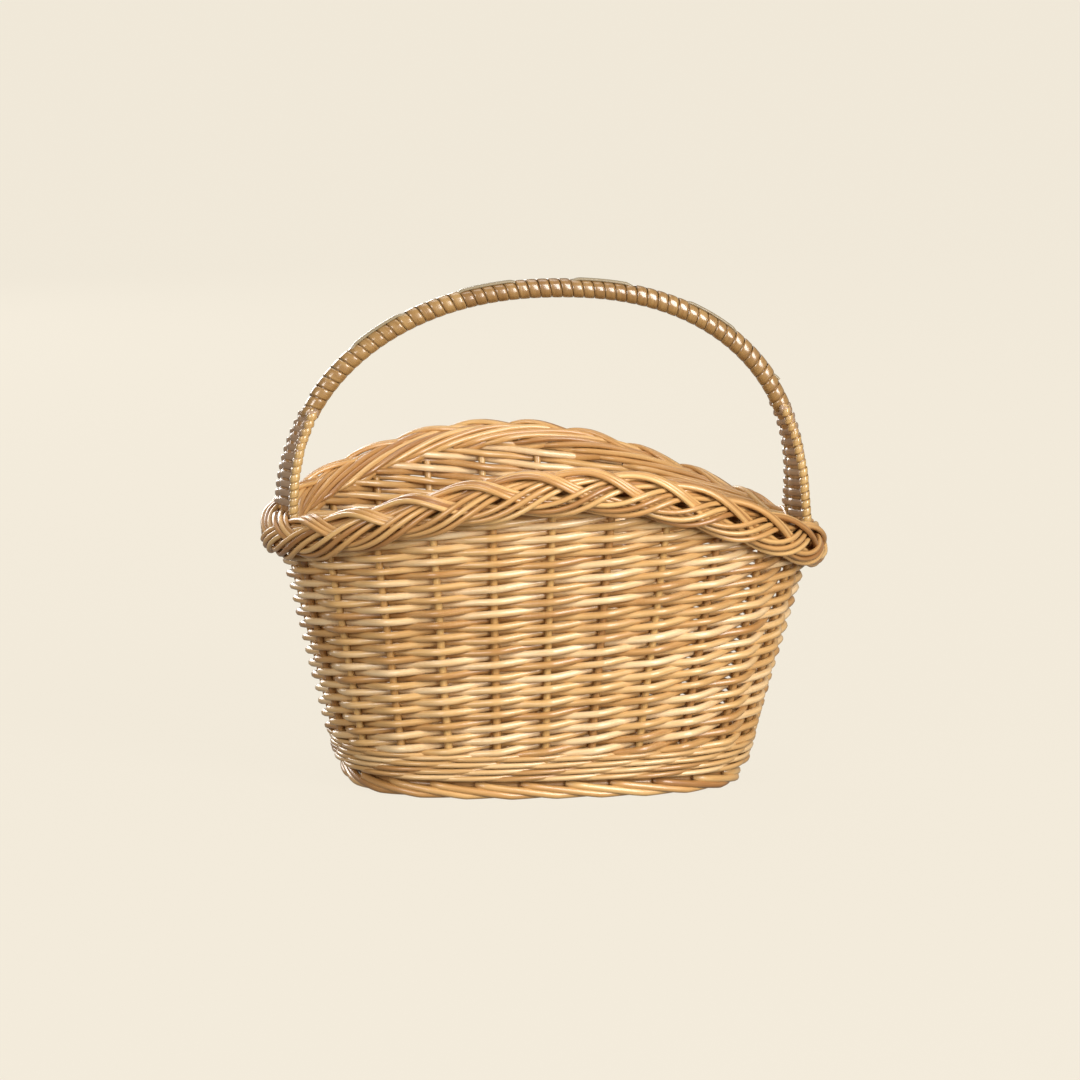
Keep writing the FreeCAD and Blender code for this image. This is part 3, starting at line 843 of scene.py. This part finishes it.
tails = {side: wall(END_SHARE[side], np.linspace(TAIL_END, end_height[side], TAIL_POINTS))
         for side in END_SHARE}
hoop_angles = np.linspace(0, math.pi, 90)[1:-1]
bow_line = np.concatenate([tails[1], hoop(hoop_angles), tails[-1][::-1]])
bow_radii = np.full(len(bow_line), HOOP_RADIUS)
bow_radii[:TAIL_POINTS], bow_radii[-TAIL_POINTS:] = SLYPE_RADII, SLYPE_RADII[::-1]
print("the bow is a rod", round(float(np.linalg.norm(np.diff(bow_line, axis=0), axis=1).sum())),
      "mm long")

# %% Ribs
FAN_HEIGHT = 74.0
RIB_RADIUS = 2.5
RIB_END, RIB_SHARE, RIB_CLOSE = 150, 0.0277, 9.8
RIB_STRAIGHT_ABOVE_BORDER = 17


def rib_line(side, face):
    share = END_SHARE[side] + side * face * RIB_SHARE
    foot = wall(share, np.linspace(RIB_END, end_height[side] + RIB_STRAIGHT_ABOVE_BORDER, 8))
    points = [foot]
    for part in (0.33, 0.67, 1.0):
        height = HOOP_BASE + FAN_HEIGHT * part
        x = hoop_x(side, FAN_HEIGHT * part / (HOOP_TOP - HOOP_BASE))
        close = face * RIB_CLOSE
        left = (HOOP_BASE + FAN_HEIGHT - height) / (HOOP_BASE + FAN_HEIGHT - foot[-1][2])
        points.append([[x, close + (foot[-1][1] - close) * left, height]])
    return np.concatenate(points)


rib_lines = {(side, face): rib_line(side, face) for side in (-1, 1) for face in (-1, 1)}
bow = make_rods("bow", [bow_line, *rib_lines.values()], [bow_radii] + [RIB_RADIUS] * 4,
                handle_willow, sides=12, bend=0.3, seed=15.0)
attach(bow, "root")
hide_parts("handle_bow", *[f"handle_rib_{side}_{face}" for side in ("left", "right")
                                 for face in ("front", "back")])

# %% [markdown]
# ## Lapping
# Flat cane is wound round the hoop, edge to edge. An array of rings would show no winding, so a
# tree walks along the hoop while it turns round it, and tells each point which way faces out, so
# that the cane lies flat on the rod. The turns that go over the leader strip stand a little higher
# on top, which is the tree's step up.


# %% Lapping tree
def lapping_tree():
    growth = Growth("cane_wound_along_a_path", Turns="Float", Steps="Int", Reach="Float",
                    Half_width="Float", Sides="Int", Step_up="Float", Changes="Float",
                    First_change="Float", Turns_per_cane="Float", Metres_per_radian="Float")
    value = growth.inside
    index = growth.add("GeometryNodeInputIndex")
    count = growth.math("MULTIPLY_ADD", value["Turns"], value["Steps"], 1.0)
    line = growth.add("GeometryNodeMeshLine", count)
    share = growth.math("DIVIDE", index, growth.math("SUBTRACT", count, 1.0))
    path = growth.add("GeometryNodeMeshToCurve", value["Geometry"])
    middle, run = (growth.add("GeometryNodeSampleCurve", path, None, share, mode="FACTOR", out=out)
                   for out in (1, 2))
    turn = growth.math("MULTIPLY", growth.math("DIVIDE", index, value["Steps"]), 2 * math.pi)
    out = growth.vector("NORMALIZE", growth.vector("CROSS_PRODUCT", (0.0, 1.0, 0.0), run))
    facing = growth.vector(
        "ADD", growth.vector("SCALE", (0.0, 1.0, 0.0), growth.math("SINE", turn)),
        growth.vector("SCALE", out, growth.math("COSINE", turn)))
    state = growth.math("COSINE", growth.math("MULTIPLY_ADD", share, value["Changes"],
                                              value["First_change"]))
    over = growth.add("ShaderNodeMapRange", state, -0.12, 0.12, 0.0, 1.0)
    on_top = growth.add("ShaderNodeMapRange", growth.math("COSINE", turn), 0.3, 0.9, 0.0, 1.0)
    raised = growth.math("MULTIPLY", growth.math("MULTIPLY", over, on_top), value["Step_up"])
    reach = growth.vector("SCALE", facing, growth.math("ADD", value["Reach"], raised))
    line = growth.add("GeometryNodeSetPosition", line, None, growth.vector("ADD", middle, reach))
    line = growth.store(line, "facing", facing, "FLOAT_VECTOR")
    cane_length = growth.math("MULTIPLY", value["Steps"], value["Turns_per_cane"])
    line = growth.store(line, "rod", growth.math("FLOOR", growth.math("DIVIDE", index,
                                                                      cane_length)))
    line = growth.store(line, "along", growth.math("MULTIPLY", turn, value["Metres_per_radian"]))
    line = growth.store(line, "thickness", value["Half_width"])
    growth.close(sweep(growth, line, 0.14, True))
    return growth


winding = lapping_tree()
print(winding.size())

# %% Lapping
CANE_PITCH = 8.5
CHANGE_LENGTH, CHANGE_FROM_MIDDLE = 89.0, -6.0
FAN_ANGLE = math.asin((FAN_HEIGHT / (HOOP_TOP - HOOP_BASE)) ** (HOOP_ROUNDNESS / 2))


def way_along(line):
    """Distance from the start of a line to each of its points."""
    return np.concatenate([[0], np.cumsum(np.linalg.norm(np.diff(line, axis=0), axis=1))])


lapped = hoop(np.linspace(FAN_ANGLE - 0.02, math.pi - FAN_ANGLE + 0.02, 240))
lapped_length = float(np.linalg.norm(np.diff(lapped, axis=0), axis=1).sum())
turns = round(lapped_length / CANE_PITCH)
changes = -2 * math.pi * lapped_length / CHANGE_LENGTH
first_change = -changes / 2 - 2 * math.pi * CHANGE_FROM_MIDDLE / CHANGE_LENGTH
lapping = grow("handle_lapping_cane", chain_mesh("lapped", [lapped]), winding,
               Turns=float(turns), Steps=22, Reach=6.4 * MM, Half_width=4.08 * MM, Sides=10,
               Step_up=1.0 * MM, Changes=changes, First_change=first_change,
               Turns_per_cane=17.0, Metres_per_radian=0.0072, Material=cane)
print("lapping:", turns, "turns over", round(lapped_length), "mm")
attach(lapping, "root")
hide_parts("handle_lapping")

# %% [markdown]
# ## Leg bindings
# Where the ribs stand off from the bow, the cane goes round all three in a figure of eight: in
# front of one rod, behind the next, in front of the third, and back the other way. Each rib is
# wound with its own narrow cane as well. Both are rules of an angle, but their rods stand at a
# different distance at each height, which is easier to work out in Python than in a tree.

# %% Figure of eight
EIGHTS = 11
BINDING_ABOVE_BORDER, BINDING_ABOVE_FAN = 20, 2
GRIP_AT_RIBS, GRIP_AT_BOW = 3.4, 2.9
CROSSING_GAP, PAST_RIB = 1.2, 2.4


def binding(side):
    """The cane that binds one leg, with its facing directions."""
    low = end_height[side] + BINDING_ABOVE_BORDER
    high = HOOP_BASE + FAN_HEIGHT + BINDING_ABOVE_FAN
    turn = np.linspace(0, 2 * math.pi * EIGHTS, EIGHTS * 40)
    height = low + (high - low) * turn / turn[-1]
    rise = np.clip((height - HOOP_BASE) / (HOOP_TOP - HOOP_BASE), 0, 1)
    rib = rib_lines[side, 1]
    half = np.interp(height, rib[:, 2], rib[:, 1])
    across = np.cos(turn)
    grip = (GRIP_AT_RIBS + GRIP_AT_BOW * np.exp(-(across * half / 8) ** 2)
            + CROSSING_GAP * across)
    out = grip * np.sin(3 * turn) * side
    y = (half + PAST_RIB + 1.3 * across) * across
    line = np.stack([hoop_x(side, rise) + out, y, height], -1)
    facing = np.cross(np.gradient(line, axis=0), [0.0, 0.0, 1.0])
    facing /= np.linalg.norm(facing, axis=1, keepdims=True)
    return line, facing


print("each leg is bound with", EIGHTS, "figures of eight")

# %% Bindings
WRAP_RADIUS, WRAP_PITCH, WRAP_BELOW_HOOP = 3.0, 6.1, 26
BINDING_HALF_WIDTH = 2.9


def wound(line):
    """Cane wound closely round a rib, with its facing directions."""
    length = way_along(line)
    steps = np.linspace(0, length[-1], int(length[-1] / WRAP_PITCH * 18))
    middle = np.stack([np.interp(steps, length, line[:, axis]) for axis in range(3)], -1)
    turn = 2 * math.pi * steps / WRAP_PITCH
    out = np.stack([np.cos(turn), np.sin(turn), 0 * turn], -1)
    return middle + out * WRAP_RADIUS, out


for side, side_name in ((-1, "left"), (1, "right")):
    line, facing = binding(side)
    # The figure of eight takes the darker copy of the cane, its colour painted shade.
    eights = make_canes(f"leg_binding_cane_{side_name}", [line], [BINDING_HALF_WIDTH], [facing],
                        shaded_binding_cane, seed=17.0)
    wraps = [wound(rib[rib[:, 2] > HOOP_BASE - WRAP_BELOW_HOOP])
             for rib in (rib_lines[side, face] for face in (-1, 1))]
    # The rib wraps take the brighter copy of the cane, its colour painted light.
    beads = make_canes(f"rib_wrapping_cane_{side_name}", [line for line, _ in wraps],
                       [BINDING_HALF_WIDTH] * 2, [facing for _, facing in wraps], lit_wrapping_cane,
                       seed=18.0, tree=strips)
    for piece in (eights, beads):
        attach(piece, "root")
    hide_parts(f"leg_binding_{side_name}")

# %% [markdown]
# ## Leader
# A flat strip runs along the top of the hoop. The lapping goes over it for a few turns and under it
# for the next few, which makes the pattern of the grip. Stretches could be cut to length and laid
# on, but the real strip is one piece, so it is one swept cane that dips below the lapping wherever
# the lapping steps up.

# %% Leader
LEADER_ENDS = slice(14, -14)
LEADER_HALF_WIDTH = 3.1
LEADER_LIFT, LEADER_DIP = 6.3, 1.2
lead = lapped[LEADER_ENDS]
lead_step = np.gradient(lead, axis=0)
lead_step /= np.linalg.norm(lead_step, axis=1, keepdims=True)
up = np.cross(lead_step, [0.0, 1.0, 0.0])
up *= np.sign(up[:, 2:3])
under = np.cos(changes * way_along(lapped)[LEADER_ENDS] / lapped_length + first_change)
lift = LEADER_LIFT - LEADER_DIP * np.clip(under / 0.25, -1, 1)
leader = make_canes("leader_strip_cane", [lead + up * lift[:, None]], [LEADER_HALF_WIDTH], [up],
                    leader_skin, seed=19.0, bend=0.1)
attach(leader, "root")
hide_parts("handle_leader")

# %% [markdown]
# ## Floor, light and camera
# A sheet of pale paper under a basket takes its shade from every lamp, and turns grey in the
# corners. Here the floor glows evenly by itself instead, and is kept out of the rods' reflections.
# Large soft lights stand in for a studio's: the main one at the right lights each stroke of the
# weaving on the side that turns towards it, and weaker ones keep the left, the top and the back
# from going dark.

# %% Floor
bpy.ops.mesh.primitive_plane_add(size=60)
floor = bpy.context.object
floor.name = "floor"
floor_paint = bpy.data.materials.new("floor_paint")
floor_paint.use_nodes = True
paint = floor_paint.node_tree.nodes["Principled BSDF"]
paint.inputs["Base Color"].default_value = (0.02, 0.019, 0.017, 1)
paint.inputs["Roughness"].default_value = 0.9
paint.inputs["Specular IOR Level"].default_value = 0.0
paint.inputs["Emission Color"].default_value = (0.868, 0.804, 0.686, 1)
paint.inputs["Emission Strength"].default_value = 1.0
floor.data.materials.append(floor_paint)
floor.visible_diffuse = False
floor.visible_glossy = False
print("floor is", round(floor.dimensions.x), "m wide")

# %% Lights
LIGHT_COLOUR = (1, 0.975, 0.94)
BASKET_MIDDLE = Vector((0, 0, 0.16))


def area_light(name, place, size, power):
    data = bpy.data.lights.new(name, "AREA")
    data.shape = "RECTANGLE"
    data.size, data.size_y = size
    data.energy = power
    data.color = LIGHT_COLOUR
    light = bpy.data.objects.new(name, data)
    light.location = place
    light.rotation_euler = (BASKET_MIDDLE - Vector(place)).to_track_quat("-Z", "Y").to_euler()
    bpy.context.scene.collection.objects.link(light)


area_light("key", (1.45, -2.6, 1.4), (1.5, 2.3), 147)
area_light("front_fill", (-2.3, -2.2, 1.2), (1.4, 1.4), 56)
area_light("top", (0.1, 0.7, 2.6), (1.6, 1.6), 17)
area_light("back_fill", (-0.8, 2.9, 1.1), (2.0, 1.6), 62)
world = bpy.data.worlds.new("studio")
world.use_nodes = True
world.node_tree.nodes["Background"].inputs[0].default_value = (1.0, 0.93, 0.82, 1)
world.node_tree.nodes["Background"].inputs[1].default_value = 0.25
bpy.context.scene.world = world
bpy.context.scene.view_settings.view_transform = "Standard"
print("lights:", {light.name: round(light.energy) for light in bpy.data.lights})

# %% Camera
TURN, DIP, ROLL, DISTANCE = 0.2032, 0.1549, 0.0168, 4.6159
ahead = Vector((math.sin(TURN) * math.cos(DIP), math.cos(TURN) * math.cos(DIP), -math.sin(DIP)))
level_right = Vector((math.cos(TURN), -math.sin(TURN), 0))
level_up = level_right.cross(ahead)
right = level_right * math.cos(ROLL) + level_up * math.sin(ROLL)
upright = level_up * math.cos(ROLL) - level_right * math.sin(ROLL)
camera = bpy.data.objects.new("camera", bpy.data.cameras.new("camera"))
camera.data.lens, camera.data.sensor_width = 199.6, 36
camera.data.shift_x, camera.data.shift_y = -0.0038, 0.0069
camera.matrix_world = Matrix.Translation(Vector((0, 0, 0.1778)) - ahead * DISTANCE) @ Matrix((
    right, upright, -ahead)).transposed().to_4x4()
bpy.context.scene.collection.objects.link(camera)
bpy.context.scene.camera = camera
print("camera looks down by", round(math.degrees(DIP), 1), "degrees from", DISTANCE, "m away")
